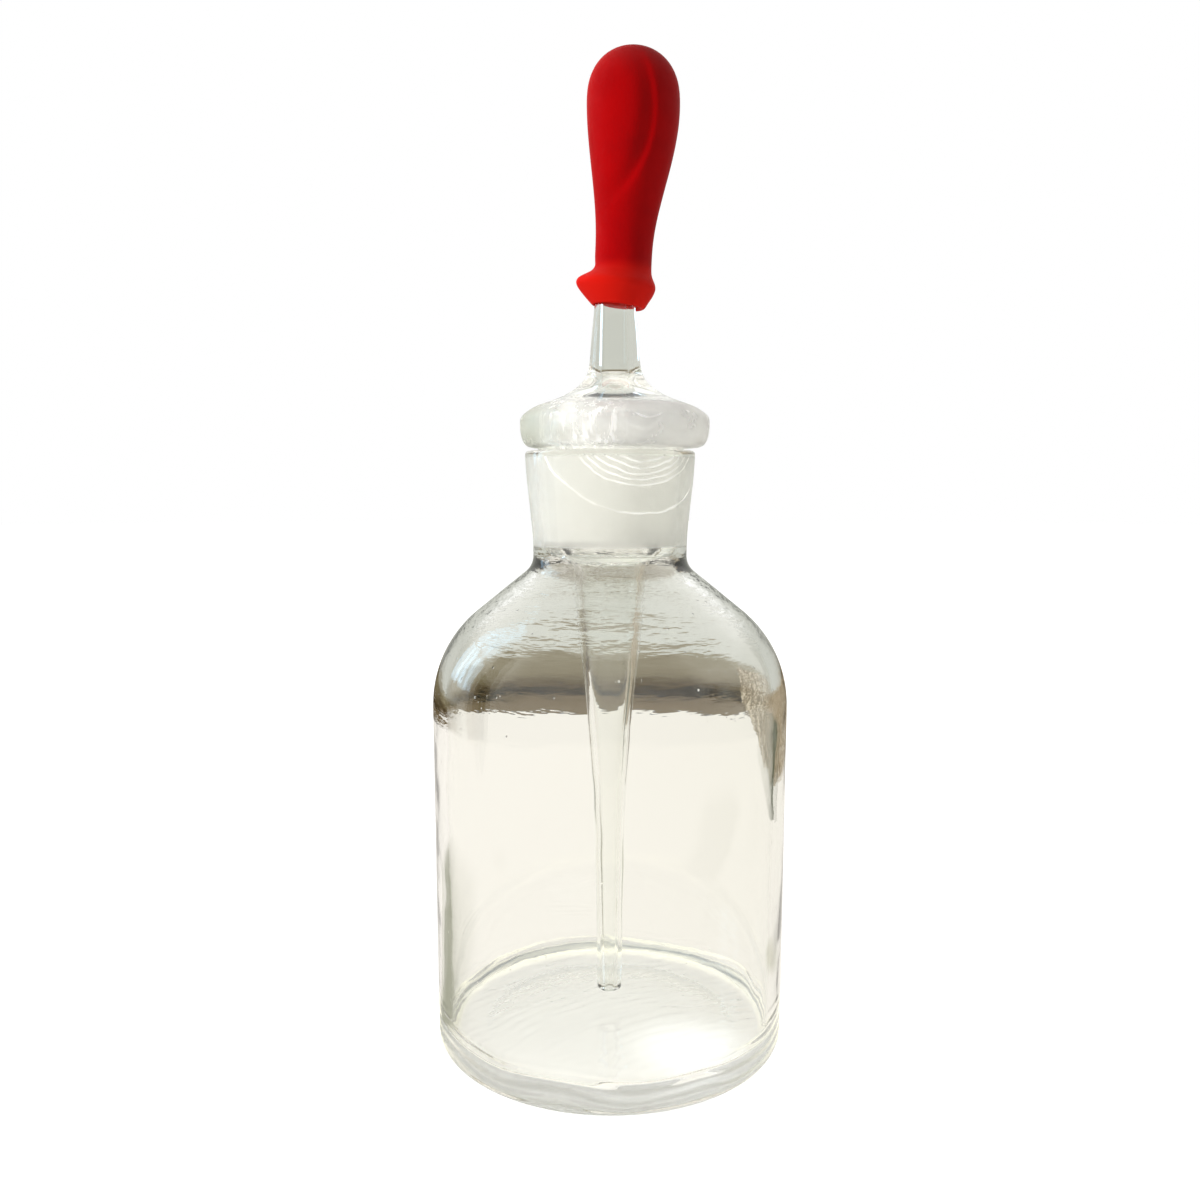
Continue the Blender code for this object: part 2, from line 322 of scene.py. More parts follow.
def buildPipette(sizes):
    aside = sizes["headAside"]
    head = roundedBy(2.6, 127.1, 0.4, 90, 0, 3)
    head += [(3.06, 124.5), (3.2, 120.5), (3.4, 118.5), (3.7, 116.0), (3.86, 113.2), (4.02, 111.4)]
    head += [(4.4, 109.9), (5.2, 108.75), (6.5, 107.7), (8.2, 106.7), (10.2, 105.9), (12.3, 105.3)]
    head += [(13.7, 104.5)]
    head += roundedBy(sizes["headRadius"] - 1.9, 102.6, 1.9, 38, 0, 3)
    head += [(15.02, 101.4), (14.85, 100.3), (14.45, 99.35), (13.9, 98.85), (13.0, 98.7)]
    outside = [(radius, height, aside) for radius, height in head]
    outside += [(12.0, 98.7, 0.4), (sizes["plugTop"], 98.45), (11.32, 97.6), (11.1, 93.4), (10.9, 89.0)]
    outside += [(sizes["plugFoot"], 84.6)] + roundedBy(sizes["plugFoot"] - 2.1, 83.4, 2.1, 10, -70, 4)
    outside += [(7.6, 80.9), (6.6, 80.2), (6.1, 78.9), (5.75, 76.6), (5.35, 72.4), (4.75, 66.0)]
    outside += [(4.1, 60.2), (3.6, 54.6), (3.05, 48.0), (2.6, 41.5), (2.35, 34.0), (2.22, 24.0)]
    outside += [(2.15, 15.0), (2.05, 9.6)]
    inside = roundedBy(1.55, 8.75, 0.45, 0, -90, 3)
    inside += [(0.95, 8.3), (0.8, 8.9), (0.85, 11.0), (1.05, 18.0), (1.2, 28.0), (1.3, 36.0)]
    inside += [(1.55, 42.0), (1.95, 48.0), (2.5, 54.6), (3.0, 60.2), (3.6, 66.0), (4.2, 72.4)]
    inside += [(4.6, 76.6), (4.95, 79.6), (5.7, 81.4), (7.3, 82.6), (8.4, 84.4), (8.9, 87.0)]
    inside += [(9.2, 91.0), (9.5, 95.5, 0.2), (9.9, 98.4, 0.45)]
    hollow = [(10.5, 100.4), (10.9, 101.9), (10.1, 103.1), (8.2, 103.7), (5.6, 104.3), (3.6, 105.2)]
    hollow += [(2.5, 106.6), (2.15, 108.6), (2.1, 112.0), (2.0, 119.0), (1.95, 126.6), (2.2, 127.35)]
    inside += [(radius, height, aside) for radius, height in hollow]
    piece = turnRings("pipetteStopper", outside + inside, sizes["steps"])
    bridgeEnds(piece)
    groupRings(piece, "inside", len(outside) + 6, sizes["steps"])
    smoothed(piece, 1)
    faceOut(piece)
    rippled(piece, "inside", sizes["rippleSize"], sizes["ripple"], 2)
    print("Pipette turned:", len(piece.data.polygons), "faces")
    return piece


# the rubber bulb: a beaded collar on the tube, then a balloon that leans and straightens again

bulb = {
    "steps": 96,
    "collar": [
        (4.15, 120.5, 1.2), (4.5, 120.9, 1.15), (4.9, 121.45, 1.05), (5.6, 122.4, 1.0),
        (6.0, 123.1, 0.95), (6.12, 123.6, 1.0), (6.0, 124.1, 1.1), (5.6, 124.6, 1.3),
        (5.05, 125.1, 1.6), (4.6, 125.7, 1.85),
    ],
    # soft dents and swellings of the bead: place, push and reach
    "presses": [
        ((-5.3, -1.0, 123.4), (-0.35, -0.1, 0.15), 3.4),
        ((-3.6, 0.0, 126.2), (0.35, 0.0, -0.25), 2.2),
    ],
    "neckRadius": 4.45,
    "radius": 7.15,
    "aside": (1.95, 1.55),  # the axis at the neck, and how much further aside the belly's is
    "tilt": (5.5, 4.5),  # degrees at the neck, and how many of them are gone at the belly
    "neckTop": 129.0,
    "bellyZ": 150.2,
    "domeFoot": 151.2,
    "domeTop": 158.6,
    "domeSquare": 2.15,
    "cut": 134.6,  # the balloon's two halves begin here
    "ringStep": 1.1,
    "rubber": 1.2,
    "splitZ": 144.0,
    "splitLean": 4.5,
    "squeezeReach": 9.5,  # how far from the split a side's reach point lies; it is worked out but nothing moves with it
    "creaseMiddle": (-10.4, 148.4),  # the crease bows round this point
    "creaseBow": 17.2,
    "creaseFoot": (133.5, 139),
    "creaseTop": (153.5, 157.5),
    "creaseFront": (0.5, 3.5),
    "valley": 0.5,
    "valleyAside": 0.8,
    "valleyWidths": (1.5, 0.78),  # away from the fold, and steeper beside it
    "valleyFade": (148, 155),
    "fold": 0.04,
    "foldWidth": 0.5,
}


def eased(value, low, high):
    share = min(max((value - low) / (high - low), 0.0), 1.0)
    return share * share * (3 - 2 * share)


def balloonRing(height, sizes, thinner=0.0):
    swell = eased(height, sizes["neckTop"], sizes["bellyZ"])
    radius = sizes["neckRadius"] + (sizes["radius"] - sizes["neckRadius"]) * swell
    if height > sizes["domeFoot"]:
        up = (height - sizes["domeFoot"]) / (sizes["domeTop"] - sizes["domeFoot"])
        square = sizes["domeSquare"]
        radius = sizes["radius"] * max(1 - up ** square, 0.0001) ** (1 / square)
    neckAside, bellyAside = sizes["aside"]
    neckTilt, tiltGone = sizes["tilt"]
    side = neckAside + bellyAside * eased(height, 124, 150)
    return radius - thinner, height, side, neckTilt - tiltGone * eased(height, 132, 152)


def pressIn(piece, place, push, reach):
    # a soft dent or swelling: the nearest points move most
    for vertex in piece.data.vertices:
        away = (vertex.co - Vector(place) * mm).length / (reach * mm)
        if away < 1:
            vertex.co += Vector(push) * mm * (1 - away * away) ** 2


def creased(piece, sizes):
    # the rubber has taken a set: a shallow valley with a raised fold on its right
    middleX, middleZ = sizes["creaseMiddle"]
    beside = sizes["valleyAside"]
    wide, steep = sizes["valleyWidths"]
    for vertex in piece.data.vertices:
        x, y, z = vertex.co / mm
        if y > 0:
            continue
        away = math.hypot(x - middleX, z - middleZ) - sizes["creaseBow"]
        along = eased(z, *sizes["creaseFoot"]) * (1 - eased(z, *sizes["creaseTop"]))
        along *= eased(-y, *sizes["creaseFront"])
        flank = wide if away < -beside else steep
        valley = math.exp(-((away + beside) / flank) ** 2)
        valley *= 0.45 + 0.55 * (1 - eased(z, *sizes["valleyFade"]))
        fold = math.exp(-(away / sizes["foldWidth"]) ** 2)
        vertex.co.y += (sizes["valley"] * valley - sizes["fold"] * fold) * along * mm


def buildBulbNeck(sizes):
    top = sizes["cut"]
    rings = [balloonRing(top - fall, sizes) for fall in (0.0, 1.2, 2.6, 4.1, 5.6, 7.0, 8.0)]
    tilt = sizes["tilt"][0]
    rings += [(radius, height, side, tilt) for radius, height, side in reversed(sizes["collar"])]
    rings += [(3.85, 120.4, 1.1, tilt), (3.55, 120.55, 0.95, tilt), (3.42, 121.1, 0.8, 4.0)]
    rings += [(3.4, 122.2, 0.74, 2.0), (3.36, 124.0, 0.76), (3.3, 125.6, 0.85), (3.3, 127.6, 1.1)]
    rings += [(3.2, 128.6, 1.6, 2.0), (3.25, 130.5, 2.1, 4.0)]
    rings += [balloonRing(132.5, sizes, sizes["rubber"]), balloonRing(top, sizes, sizes["rubber"])]
    piece = turnRings("bulbNeck", rings, sizes["steps"])
    smoothed(piece, 1)
    bridgeEnds(piece)
    for place, push, reach in sizes["presses"]:
        pressIn(piece, place, push, reach)
    faceOut(piece)
    return piece


def buildBulbSkin(sizes):
    dome, step = sizes["domeTop"] - sizes["domeFoot"], sizes["ringStep"]
    rings = [(0.35,) + balloonRing(sizes["domeTop"], sizes)[1:]]
    for angle in (84, 78, 71, 63, 54, 45, 35, 24, 12, 0):
        rings.append(balloonRing(sizes["domeFoot"] + dome * math.sin(math.radians(angle)), sizes))
    height = sizes["domeFoot"] - step
    while height > sizes["cut"] + 0.5:
        rings.append(balloonRing(height, sizes))
        height -= step
    rings.append(balloonRing(sizes["cut"], sizes))
    piece = turnRings("bulbSkin", rings, sizes["steps"], startCap=True)
    smoothed(piece, 1)
    creased(piece, sizes)
    return piece


def splitPoint(sizes, aside=0.0):
    # on the plane that parts the two squeezed halves, or so far to one side of it
    side = balloonRing(sizes["splitZ"], sizes)[2]
    lean = math.radians(sizes["splitLean"])
    return ((side + aside * math.cos(lean)) * mm, 0.0, (sizes["splitZ"] - aside * math.sin(lean)) * mm)


def halfSkin(whole, name, side, sizes):
    # one half of the balloon, cut down the middle and given its wall
    half = whole.copy()
    half.data = whole.data.copy()
    half.name = name
    bpy.context.scene.collection.objects.link(half)
    inEdit(half)
    bpy.ops.mesh.select_all(action="SELECT")
    lean = math.radians(sizes["splitLean"])
    bpy.ops.mesh.bisect(
        plane_co=splitPoint(sizes), plane_no=(side * math.cos(lean), 0, -side * math.sin(lean)),
        clear_inner=True, clear_outer=False, threshold=0.0000001,
    )
    bpy.ops.object.mode_set(mode="OBJECT")
    faceOut(half)
    applied(half, "SOLIDIFY", {
        "thickness": sizes["rubber"] * mm, "offset": -1.0, "use_even_offset": True,
    })
    faceOut(half)
    return half


# finishes

glass = {
    "tint": (0.98, 0.984, 0.971),
    "ior": 1.5,
    "polished": 0.002,  # the roughness of the clear glass
    "groundRough": 0.42,
    "frost": (0.97, 0.965, 0.94),
    "frostRough": 0.6,
    "frostShine": 0.3,
    "lamplight": (0.95, 0.95, 0.93),  # what the glass lets through to lamps
    "arcMiddle": (4.6, -10.5, 105.0),
    "arcWidth": 0.09,
    "arcShare": 0.7,
    # painted glare: the colour the arcs and strokes glow with
    "arcPaintedGlare": (0.6, 0.6, 0.58),
}


def glassFinish(name, sizes):
    # clear glass, ground glass, and a node that chooses between them
    made, clear = newFinish(name, {
        "Base Color": colour(*sizes["tint"]),
        "IOR": sizes["ior"],
        "Transmission Weight": 1.0,
    })
    tree = made.node_tree
    frost = tree.nodes.new("ShaderNodeBsdfPrincipled")
    frost.inputs["Base Color"].default_value = colour(*sizes["frost"])
    frost.inputs["Roughness"].default_value = sizes["frostRough"]
    frost.inputs["Specular IOR Level"].default_value = sizes["frostShine"]
    frost.inputs["Emission Strength"].default_value = 1.0
    start = Wire(tree, None)
    both = {1: Wire(tree, clear.outputs[0]), 2: Wire(tree, frost.outputs[0])}
    chosen = start.add("ShaderNodeMixShader", {}, both)
    toLamps = start.add("ShaderNodeLightPath", {}, {}, 1)
    letThrough = start.add("ShaderNodeBsdfTransparent", {}, {"Color": colour(*sizes["lamplight"])})
    shown = start.add("ShaderNodeMixShader", {}, {0: toLamps, 1: chosen, 2: letThrough})
    tree.links.new(shown.socket, tree.nodes["Material Output"].inputs["Surface"])
    return made, clear, frost, chosen.socket.node, *placeIn(tree)


def distance(place, middle):
    return place.add("ShaderNodeVectorMath", {"operation": "DISTANCE"}, {0: place, 1: middle}, 1)


def stretched(place, scale):
    return place.add("ShaderNodeMapping", {}, {"Vector": place, "Scale": scale})


def onFront(y):
    return 1 - y.rise(-4.0, -1.0)


def glareArcs(place, y, sizes, reaches):
    # fine bright arcs on the front only: a mask for painted glare, which the finishes make glow and
    # frost the glass a little more
    away = distance(place, sizes["arcMiddle"])
    away = away + place.noise(0.22, 2.0) * 1.2 - 0.6
    half = sizes["arcWidth"]
    arcs = 0.0
    for reach in reaches:
        arcs = away.band(reach - half, reach + half, 0.08) + arcs
    patchy = place.noise(0.3, 2.0).rise(0.35, 0.55) * 0.7 + 0.3
    return arcs * onFront(y) * patchy


def bumped(height, shaders):
    # the height is in millimetres
    values = {"Strength": 1.0, "Distance": mm, "Height": height}
    bump = height.add("ShaderNodeBump", {}, values)
    for shader in shaders:
        feed(bump, shader, "Normal")


bottleMarks = {
    # heights and radii in millimetres
    "ground": (83.2, 97.3),
    "groundEdge": (11.9, 12.2),
    "groundShare": 0.3,
    "arcs": (7.5, 8.5, 9.45, 10.4, 11.3, 12.2, 16.4),
    "footTop": (1.15, 1.5),
    "footRough": (0.42, 0.3),  # least, and how much more where the stipple is deep
    "rimRadii": (25.3, 26.6),
    "rimHeights": (4.5, 6.6),
    "rimShare": 0.6,
    # the grey of the rim's painted shade
    "rimPaintedShade": (0.33, 0.37, 0.41),
    "slow": 0.16,
    "shoulder": (69.0, 84.0),
    "shoulderStreaks": 0.19,
    "side": (55.0, 69.0),
    "sideStreaks": 0.015,
    "anyStreaks": 0.006,
    "linesMiddle": (34.0, -52.0, 4.0),
    "lines": 0.02,
    "floorTop": (4.9, 6.5),
    "floorWaves": 0.08,
    "seeded": (57.0, 76.0),
    "seeds": 0.1,
    "heelTop": (5.0, 9.0),
    "heelRadii": (26.0, 27.5),
    "hoops": 0.1,
    "grain": 0.02,
}


def bottleFinish(sizes, marks):
    made, clear, frost, choice, place, x, y, z = glassFinish("bottleGlass", sizes)
    across = (x * x + y * y) ** 0.5
    ground = z.band(*marks["ground"], 0.35) * (1 - across.rise(*marks["groundEdge"]))
    foot = 1 - z.rise(*marks["footTop"])  # the underside is stippled by the mould
    stipple = place.noise(1.6, 2.0)
    least, more = marks["footRough"]
    rough = ground * sizes["groundRough"] + foot * (stipple * more + least)
    feed(rough + sizes["polished"], clear, "Roughness")
    arcs = glareArcs(place, y, sizes, marks["arcs"]) * ground
    # painted shade: the floor's far rim is painted grey, on the far side only
    farRimShade = across.band(*marks["rimRadii"], 0.4) * z.band(*marks["rimHeights"], 0.4) * y.rise(-8.0, 12.0)
    frosted = ground * marks["groundShare"] + arcs * sizes["arcShare"] + farRimShade * marks["rimShare"]
    feed(frosted, choice, 0)
    feed(farRimShade.blendColours(colour(*sizes["frost"]), colour(*marks["rimPaintedShade"])), frost, "Base Color")
    # painted glare: the arcs glow
    feed(arcs.blendColours(colour(0, 0, 0), colour(*sizes["arcPaintedGlare"])), frost, "Emission Color")
    # streaks drawn round the shoulder and neck foot as the mould closed
    streaky = z.band(*marks["shoulder"], 3.0) * marks["shoulderStreaks"]
    streaky = streaky + z.band(*marks["side"], 3.0) * marks["sideStreaks"] + marks["anyStreaks"]
    streaks = stretched(place, (0.3, 0.3, 1.5)).noise(0.2, 4.0, 0.66) * streaky
    # concentric mould lines in the floor
    away = distance(place, marks["linesMiddle"]) + place.noise(0.12, 2.0) * 3.0
    lines = away.maths("SINE", away * 2.6, 0.0) * place.noise(0.15, 2.0).rise(0.4, 0.6)
    base = 1 - z.rise(*marks["floorTop"])
    waves = base * (lines * marks["lines"] + place.noise(0.16, 2.0) * marks["floorWaves"])
    # seeds: tiny bubbles caught in the wall, only in some cells
    seed = place.add("ShaderNodeTexVoronoi", {}, {"Vector": place, "Scale": 0.45}, 0)
    rare = Wire(made.node_tree, seed.socket.node.outputs[1]).rise(0.6, 0.64)
    seeds = (1 - seed.rise(0.03, 0.09)) * rare * (z.band(*marks["seeded"], 2.0) + 0.1)
    # hoops of thicker glass round the heel
    heel = (1 - z.rise(*marks["heelTop"])) * across.rise(*marks["heelRadii"])
    turns = z * 3.0 + place.noise(0.03, 2.0) * 26
    hoops = heel * turns.maths("SINE", turns, 0.0)
    height = place.noise(0.07, 2.0, 0.4) * marks["slow"] + streaks + waves
    height = height + ground * place.noise(5.0, 2.0) * marks["grain"] + seeds * marks["seeds"]
    height = height + hoops * marks["hoops"] + foot * stipple * marks["grain"]
    bumped(height, (clear, frost))
    return made


stopperMarks = {
    "ground": (84.2, 98.0),
    "groundEdge": (10.1, 10.3),
    "groundShare": 0.3,
    "head": (98.4, 105.6),
    "headEdge": (6.0, 9.0),
    "headRough": 0.15,
    "clouds": 0.3,
    "arcs": (3.6, 4.4),
    "arcsTop": (102.8, 103.6),
    "arcsFaded": 0.8,
    "glareStrokes": (-10.0, 1.0),  # from the left to the middle
    "strokeShare": 0.3,
    # how brightly the strokes' painted glare glows
    "strokePaintedGlare": 0.7,
    "leftEnd": (-12.5, -6.5),
    # the painted shade on the head's left end
    "leftEndShade": (0.62, 0.65, 0.56),
    "slow": 0.08,
    "grain": 0.02,
    "arcDepth": 0.04,
}


def pipetteFinish(sizes, marks):
    made, clear, frost, choice, place, x, y, z = glassFinish("stopperGlass", sizes)
    across = (x * x + y * y) ** 0.5
    ground = z.band(*marks["ground"], 0.3) * across.rise(*marks["groundEdge"])
    head = z.band(*marks["head"], 0.5) * across.rise(*marks["headEdge"])
    clouds = place.noise(0.2, 3.0, 0.6)
    rough = ground * sizes["groundRough"] + head * (clouds * 0.2 + marks["headRough"])
    feed(rough + sizes["polished"], clear, "Roughness")
    arcs = glareArcs(place, y, sizes, marks["arcs"]) * head
    arcs = arcs * (1 - z.rise(*marks["arcsTop"])) * marks["arcsFaded"]
    # fine upright strokes of painted glare on the head, which glow and frost it a little more
    glareStrokes = stretched(place, (1.0, 1.0, 0.1)).noise(1.1, 3.0, 0.65).rise(0.5, 0.62)
    glareStrokes = glareStrokes * head * x.band(*marks["glareStrokes"], 2.0) * onFront(y)
    # the head's left end is painted greyer, a painted shade, and its right half is more frosted
    end = 1 - x.rise(*marks["leftEnd"])
    shine = x.rise(-8.0, 2.0) * 0.35 + 0.12 + end * 0.33
    cloudy = clouds * marks["clouds"]
    frosted = ground * (cloudy + marks["groundShare"]) + head * (cloudy + shine)
    feed(frosted + arcs * sizes["arcShare"] + glareStrokes * marks["strokeShare"], choice, 0)
    endShadeTone = (end * head).blendColours(colour(*sizes["frost"]), colour(*marks["leftEndShade"]))
    feed(endShadeTone, frost, "Base Color")
    # painted glare: the arcs and strokes glow
    paintedGlare = arcs + glareStrokes * marks["strokePaintedGlare"]
    feed(paintedGlare.blendColours(colour(0, 0, 0), colour(*sizes["arcPaintedGlare"])), frost, "Emission Color")
    height = place.noise(0.1, 2.0, 0.5) * marks["slow"]
    height = height + (ground + head) * place.noise(5.0, 2.0) * marks["grain"]
    bumped(height + arcs * marks["arcDepth"], (clear, frost))
    return made


rubber = {
    "paintedGlare": (0.56, 0.0014, 0.0028),
    "deep": (0.44, 0.0018, 0.0036),
    # the bead is painted brighter and more orange: painted light
    "beadPaintedLight": (0.88, 0.012, 0.006),
    "beadTop": (124.5, 127.5),
    "rough": 0.4,
    "shine": 0.03,
    "mottle": 0.15,
    "specks": 0.012,
}


def rubberFinish(sizes):
    made, shader = newFinish("redRubber", {"Specular IOR Level": sizes["shine"]})
    place, x, y, z = placeIn(made.node_tree)
    clouds = place.noise(0.16, 3.0, 0.55)
    specks = place.noise(2.4, 2.0)
    mix = clouds.rise(0.38, 0.68) * 0.5 + specks.rise(0.5, 0.75) * 0.15
    tone = mix.blendColours(colour(*sizes["paintedGlare"]), colour(*sizes["deep"]))
    # painted light: the bead is painted brighter and more orange than the rest
    beadPaintedLight = 1 - z.rise(*sizes["beadTop"])
    feed(beadPaintedLight.blendColours(tone, colour(*sizes["beadPaintedLight"])), shader, "Base Color")
    feed(clouds * 0.15 + specks * 0.1 + sizes["rough"], shader, "Roughness")
    height = clouds * sizes["mottle"] + specks * sizes["specks"] + place.noise(7.0, 1.0) * 0.004
    bumped(height, (shader,))
    return made


def dress(piece, finish):
    piece.data.materials.clear()
    piece.data.materials.append(finish)


bottleShell = buildBottle(bottle)
dress(bottleShell, bottleFinish(glass, bottleMarks))
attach(bottleShell, "bottle")
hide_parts("bottle")

pipetteStopper = buildPipette(pipette)
dress(pipetteStopper, pipetteFinish(glass, stopperMarks))
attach(pipetteStopper, "pipette")
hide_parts("pipette_stopper")

redRubber = rubberFinish(rubber)
bulbNeck = buildBulbNeck(bulb)
dress(bulbNeck, redRubber)
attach(bulbNeck, "bulb")
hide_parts("rubber_bulb")

wholeSkin = buildBulbSkin(bulb)
for side, word in ((-1, "left"), (1, "right")):
    half = halfSkin(wholeSkin, "bulbSkin" + word.title(), side, bulb)
    dress(half, redRubber)
    reach = splitPoint(bulb, side * bulb["squeezeReach"])
    splitPoint(bulb)
    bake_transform(half)
    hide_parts("bulb_squeeze_wall_" + word)
bpy.data.objects.remove(wholeSkin)
print("Bulb shaped, its top at", bulb["domeTop"], "mm")


# stage: a pale floor and backdrop for the camera, and a small room that only the glass sees

def glowing(name):
    made = bpy.data.materials.new(name)
    made.use_nodes = True
    tree = made.node_tree
    tree.nodes.remove(tree.nodes["Principled BSDF"])
    glow = tree.nodes.new("ShaderNodeEmission")
    tree.links.new(glow.outputs[0], tree.nodes["Material Output"].inputs["Surface"])
    return made, glow


def seenBy(piece, camera, bounce):
    # bounce: mirrored and refracted rays
    piece.visible_camera = camera
    piece.visible_glossy = bounce
    piece.visible_transmission = bounce
    piece.visible_diffuse = False
    piece.visible_shadow = False
    piece.visible_volume_scatter = False


room = {
    "radius": 282.0,
    "height": 520.0,
    "floorZ": -0.4,
    # what stands along the wall behind, as shares of the band's height
    "bandTop": 43.0,
    "band": [
        (0.0, (0.20, 0.155, 0.09)), (0.17, (0.16, 0.115, 0.06)), (0.24, (0.0, 0.0, 0.0)),
        (0.32, (0.09, 0.06, 0.025)), (0.56, (0.21, 0.175, 0.10)), (0.94, (0.29, 0.255, 0.165)),
    ],
    "silver": (0.61, 0.62, 0.56),
    "silverTop": 0.26,
    "white": (1.2, 1.2, 1.17),
    "whiteFrom": 0.42,
    "front": (0.55, 0.55, 0.53),
    "window": (1.8, 2.4, 2.9),
    "paneTurns": [(146.0, 154.0), (157.0, 168.0)],  # degrees round the wall
    "paneHeights": [(90.0, 190.0), (205.0, 420.0)],
    "curtain": (0.06, 0.055, 0.04),
    # the table's tones, then light and shade on it: x, y, reach and tone
    "cream": (1.0, 0.96, 0.89),
    "creamRight": (0.94, 0.905, 0.82),
    "spots": [
        (0.0, 0.0, 40.0, (1.12, 1.1, 1.03)),
        (56.0, 22.0, 12.0, (0.7, 0.68, 0.56)),
        (13.0, -9.0, 13.0, (1.5, 1.5, 1.45)),
    ],
    "heelRing": (27.5, 37.0),
    "heelLight": (1.3, 1.26, 1.04),
    "shade": (0.42, 0.42, 0.33),
    # speckled things behind on the right, which show in the edge of the glass
    "cards": {
        "brownCard": {
            "corners": [
                (150, 115, 0), (104, 115, 9), (64, 115, 22), (48, 115, 38),
                (46, 115, 52), (260, 115, 52), (260, 115, 0),
            ],
            "tones": ((0.22, 0.165, 0.09), (0.72, 0.62, 0.46)),
        },
        "greenCard": {
            "corners": [(112, 82, 3), (124, 82, 0), (260, 82, 0), (260, 82, 30), (106, 82, 30)],
            "tones": ((0.09, 0.10, 0.06), (0.22, 0.23, 0.17)),
        },
    },
}


def wallTone(sizes, place, x, y, z):
    height, band = sizes["height"], sizes["bandTop"] / sizes["height"]
    stops = [(band * share, tone) for share, tone in sizes["band"]]
    stops += [(band * 1.06, sizes["silver"]), (sizes["silverTop"], sizes["silver"])]
    stops += [(sizes["whiteFrom"], sizes["white"])]
    up = z + place.noise(0.02, 2.0) * 2.0 - 1.0
    tone = up.add("ShaderNodeValToRGB", {"stops": stops}, {0: up / height})
    turn = x.maths("ARCTAN2", y, x) * (180 / math.pi)
    far = (1 - turn.band(20.0, 160.0, 8.0)) * (1 - z.rise(60.0, 130.0))
    tone = far.blendColours(tone, colour(*sizes["silver"]))
    front = (1 - turn.rise(-40.0, -10.0)) * turn.rise(-175.0, -150.0)
    tone = front.blendColours(tone, colour(*sizes["front"]))
    leftTurn, rightTurn = sizes["paneTurns"]
    lowPane, highPane = sizes["paneHeights"]
    panes = turn.band(*leftTurn, 0.8) + turn.band(*rightTurn, 0.8)
    panes = panes * (z.band(*lowPane, 4.0) + z.band(*highPane, 4.0))
    tone = panes.blendColours(tone, colour(*sizes["window"]))
    curtain = (1 - x.rise(-272.0, -268.0)) * y.band(-45.0, 30.0, 2.0) * (1 - z.rise(300.0, 320.0))
    return curtain.blendColours(tone, colour(*sizes["curtain"]))


def tableTone(sizes, place, x, y, z):
    tone = x.rise(-60.0, 120.0).blendColours(colour(*sizes["cream"]), colour(*sizes["creamRight"]))
    for spotX, spotY, reach, spotTone in sizes["spots"]:
        away = distance(place, (spotX, spotY, sizes["floorZ"]))
        tone = (1 - away.rise(reach * 0.2, reach)).blendColours(tone, colour(*spotTone))
    ring = ((x * x + y * y) ** 0.5).band(*sizes["heelRing"], 2.0)
    tone = ring.blendColours(tone, colour(*sizes["heelLight"]))
    # a shadow lies to the left and behind
    shade = (1 - (x + y * 0.86).rise(-29.0, -25.0)) * y.band(-6.0, 68.0, 8.0)
    shade = shade * x.rise(-140.0, -85.0) * (1 - x.rise(-34.0, -28.0))
    return shade.blendColours(tone, colour(*sizes["shade"]))


def lit(piece, toneOf, sizes):
    finish, glow = glowing(piece.name + "Glow")
    tone = toneOf(sizes, *placeIn(finish.node_tree))
    finish.node_tree.links.new(tone.socket, glow.inputs["Color"])
    dress(piece, finish)


def cardTone(tones, place, x, y, z):
    speckle = place.noise(0.4, 3.0, 0.75).rise(0.45, 0.6)
    return speckle.blendColours(colour(*tones[0]), colour(*tones[1]))


def flatPiece(name, corners):
    # a single sheet from its corners
    made = bpy.data.meshes.new(name)
    made.from_pydata([Vector(corner) * mm for corner in corners], [], [tuple(range(len(corners)))])
    piece = bpy.data.objects.new(name, made)
    bpy.context.scene.collection.objects.link(piece)
    return piece


def roundSheet(name, radius, height):
    bpy.ops.object.select_all(action="DESELECT")
    bpy.ops.mesh.primitive_circle_add(
        vertices=128, radius=radius, fill_type="NGON", location=(0, 0, height)
    )
    piece = bpy.context.active_object
    piece.name = name
    return piece


def buildRoom(sizes):
    radius, height = sizes["radius"] * mm, sizes["height"] * mm
    bpy.ops.object.select_all(action="DESELECT")
    bpy.ops.mesh.primitive_cylinder_add(
        vertices=128, radius=radius, depth=height, end_fill_type="NOTHING", location=(0, 0, height / 2)
    )
    wall = bpy.context.active_object
    wall.name = "roomWall"
    bpy.ops.object.transform_apply(location=True)
    lit(wall, wallTone, sizes)
    seenBy(wall, False, True)
    table = roundSheet("roomFloor", radius, sizes["floorZ"] * mm)
    lit(table, tableTone, sizes)
    seenBy(table, False, True)
    ceiling = roundSheet("roomCeiling", radius, height)
    finish, glow = glowing("roomCeilingGlow")
    glow.inputs["Color"].default_value = colour(*sizes["white"])
    dress(ceiling, finish)
    seenBy(ceiling, False, True)
    for name, made in sizes["cards"].items():
        card = flatPiece(name, made["corners"])
        lit(card, cardTone, made["tones"])
        seenBy(card, False, True)


stage = {
    "worldLight": 0.19,
    "bounces": 40,  # light is caught in the thick heel for many turns
    "floorTone": (0.35, 0.35, 0.345),
    "floorGlow": (0.84, 0.84, 0.835),  # near the bottle, where the lamps add to it
    "floorFade": (40.0, 160.0),
    "floorRadius": 3.0,
    "backdropRadius": 4.0,
}


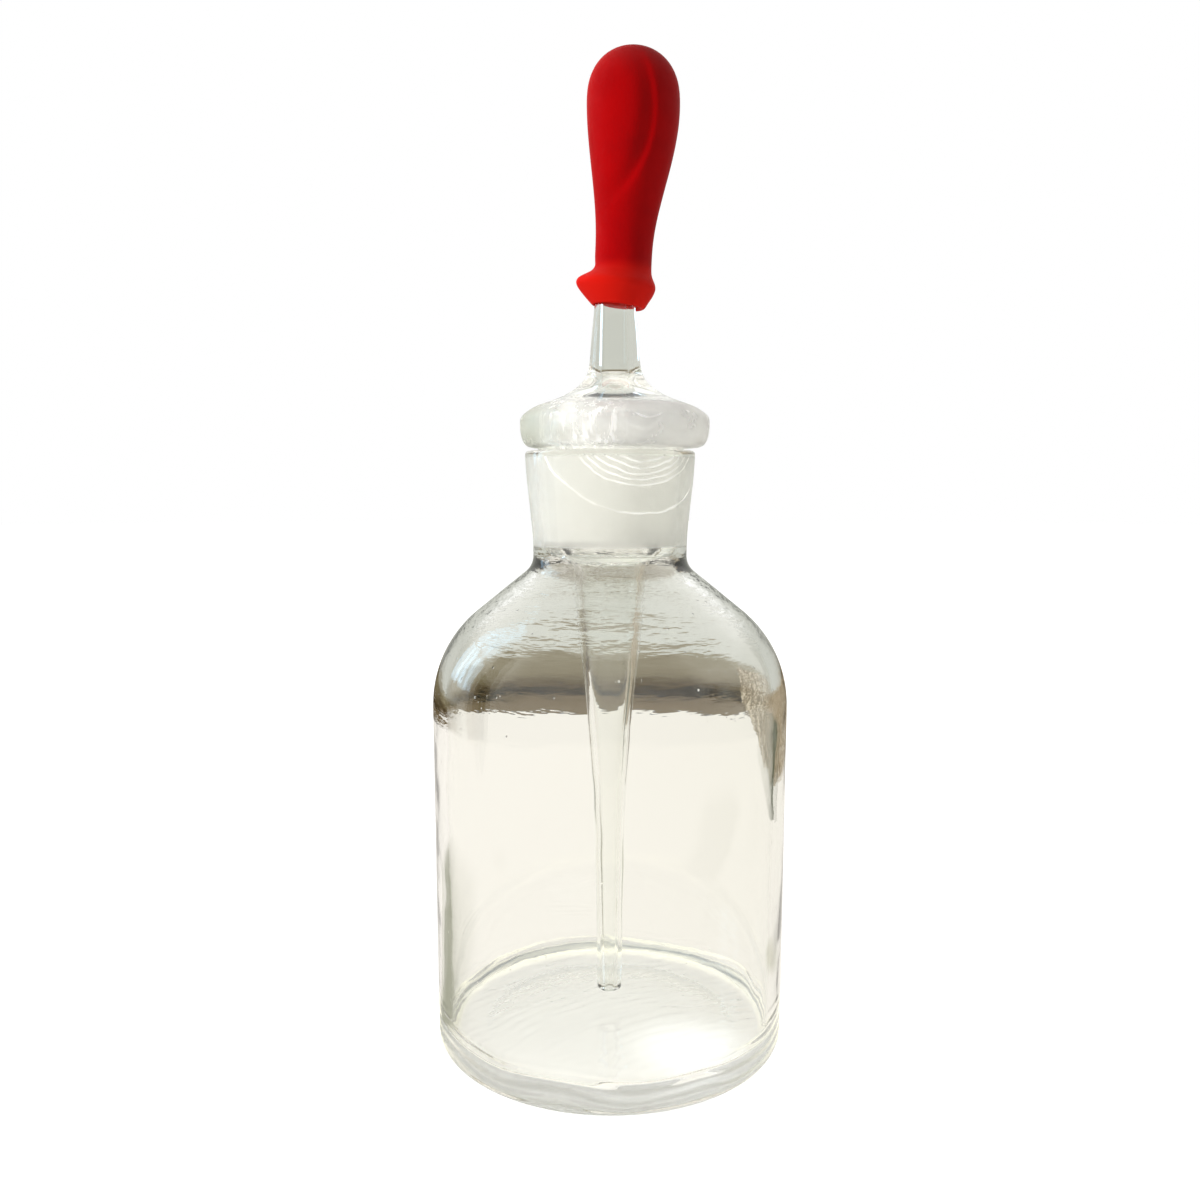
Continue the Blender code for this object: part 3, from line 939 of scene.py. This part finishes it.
def buildStage(sizes):
    floor = roundSheet("paleFloor", sizes["floorRadius"], -0.0002)
    finish, shader = newFinish("paleFloor", {
        "Base Color": colour(*sizes["floorTone"]),
        "Roughness": 0.9,
        "Specular IOR Level": 0.0,
        "Emission Strength": 1.0,
    })
    place, x, y, z = placeIn(finish.node_tree)
    near = 1 - ((x * x + y * y) ** 0.5).rise(*sizes["floorFade"])
    feed(near.blendColours(colour(1, 1, 1), colour(*sizes["floorGlow"])), shader, "Emission Color")
    dress(floor, finish)
    seenBy(floor, True, False)
    bpy.ops.object.select_all(action="DESELECT")
    bpy.ops.mesh.primitive_uv_sphere_add(
        segments=48, ring_count=24, radius=sizes["backdropRadius"], location=(0, 0, 0)
    )
    backdrop = bpy.context.active_object
    backdrop.name = "whiteBackdrop"
    finish, glow = glowing("whiteBackdrop")
    glow.inputs["Color"].default_value = colour(1, 1, 1)
    dress(backdrop, finish)
    seenBy(backdrop, True, False)


# each lamp: its place, what it points at, its size, watts and tone
lamps = {
    "keySoftbox": ((-0.63, -0.30, 0.24), (0, 0, 0.12), 0.30, 4.1, (1.0, 0.98, 0.95)),
    "topSoftbox": ((-0.2, 0.05, 0.95), (0, 0, 0), 0.60, 0.8, (1, 1, 1)),
    "glassBounce": ((0.10, -0.08, 0.075), (0.003, 0, 0.122), 0.06, 0.04, (1, 0.97, 0.93)),
    "backFill": ((0.05, 0.75, 0.35), (0, 0, 0.12), 0.40, 2.2, (1, 1, 1)),
}


def addSoftbox(name, place, target, size, watts, tone):
    bpy.ops.object.light_add(type="AREA", location=place)
    lamp = bpy.context.active_object
    lamp.name = name
    lamp.data.shape = "DISK"
    lamp.data.size = size
    lamp.data.energy = watts
    lamp.data.color = tone
    lamp.rotation_euler = (Vector(target) - Vector(place)).to_track_quat("-Z", "Y").to_euler()
    lamp.visible_glossy = False
    lamp.visible_transmission = False
    lamp.visible_camera = False


buildRoom(room)
buildStage(stage)
for name, setting in lamps.items():
    addSoftbox(name, *setting)
world = bpy.data.worlds.new("softRoom")
bpy.context.scene.world = world
world.use_nodes = True
background = world.node_tree.nodes["Background"]
background.inputs["Color"].default_value = colour(1, 1, 1)
background.inputs["Strength"].default_value = stage["worldLight"]
bpy.context.scene.view_settings.view_transform = "Standard"
bpy.context.scene.cycles.max_bounces = stage["bounces"]
bpy.context.scene.cycles.transmission_bounces = stage["bounces"]
print("Stage and lights set")

camera = {
    "place": (-0.0016, -0.1837, 0.0925),
    "pitch": 8.16,
    "lens": 34.05,
    "shiftUp": 0.0417,
}
bpy.ops.object.camera_add(
    location=camera["place"], rotation=(math.radians(90 - camera["pitch"]), 0, 0)
)
eye = bpy.context.active_object
eye.data.lens = camera["lens"]
eye.data.sensor_width = 36
eye.data.shift_y = camera["shiftUp"]
eye.data.clip_start = 0.01
bpy.context.scene.camera = eye
print("Camera set")
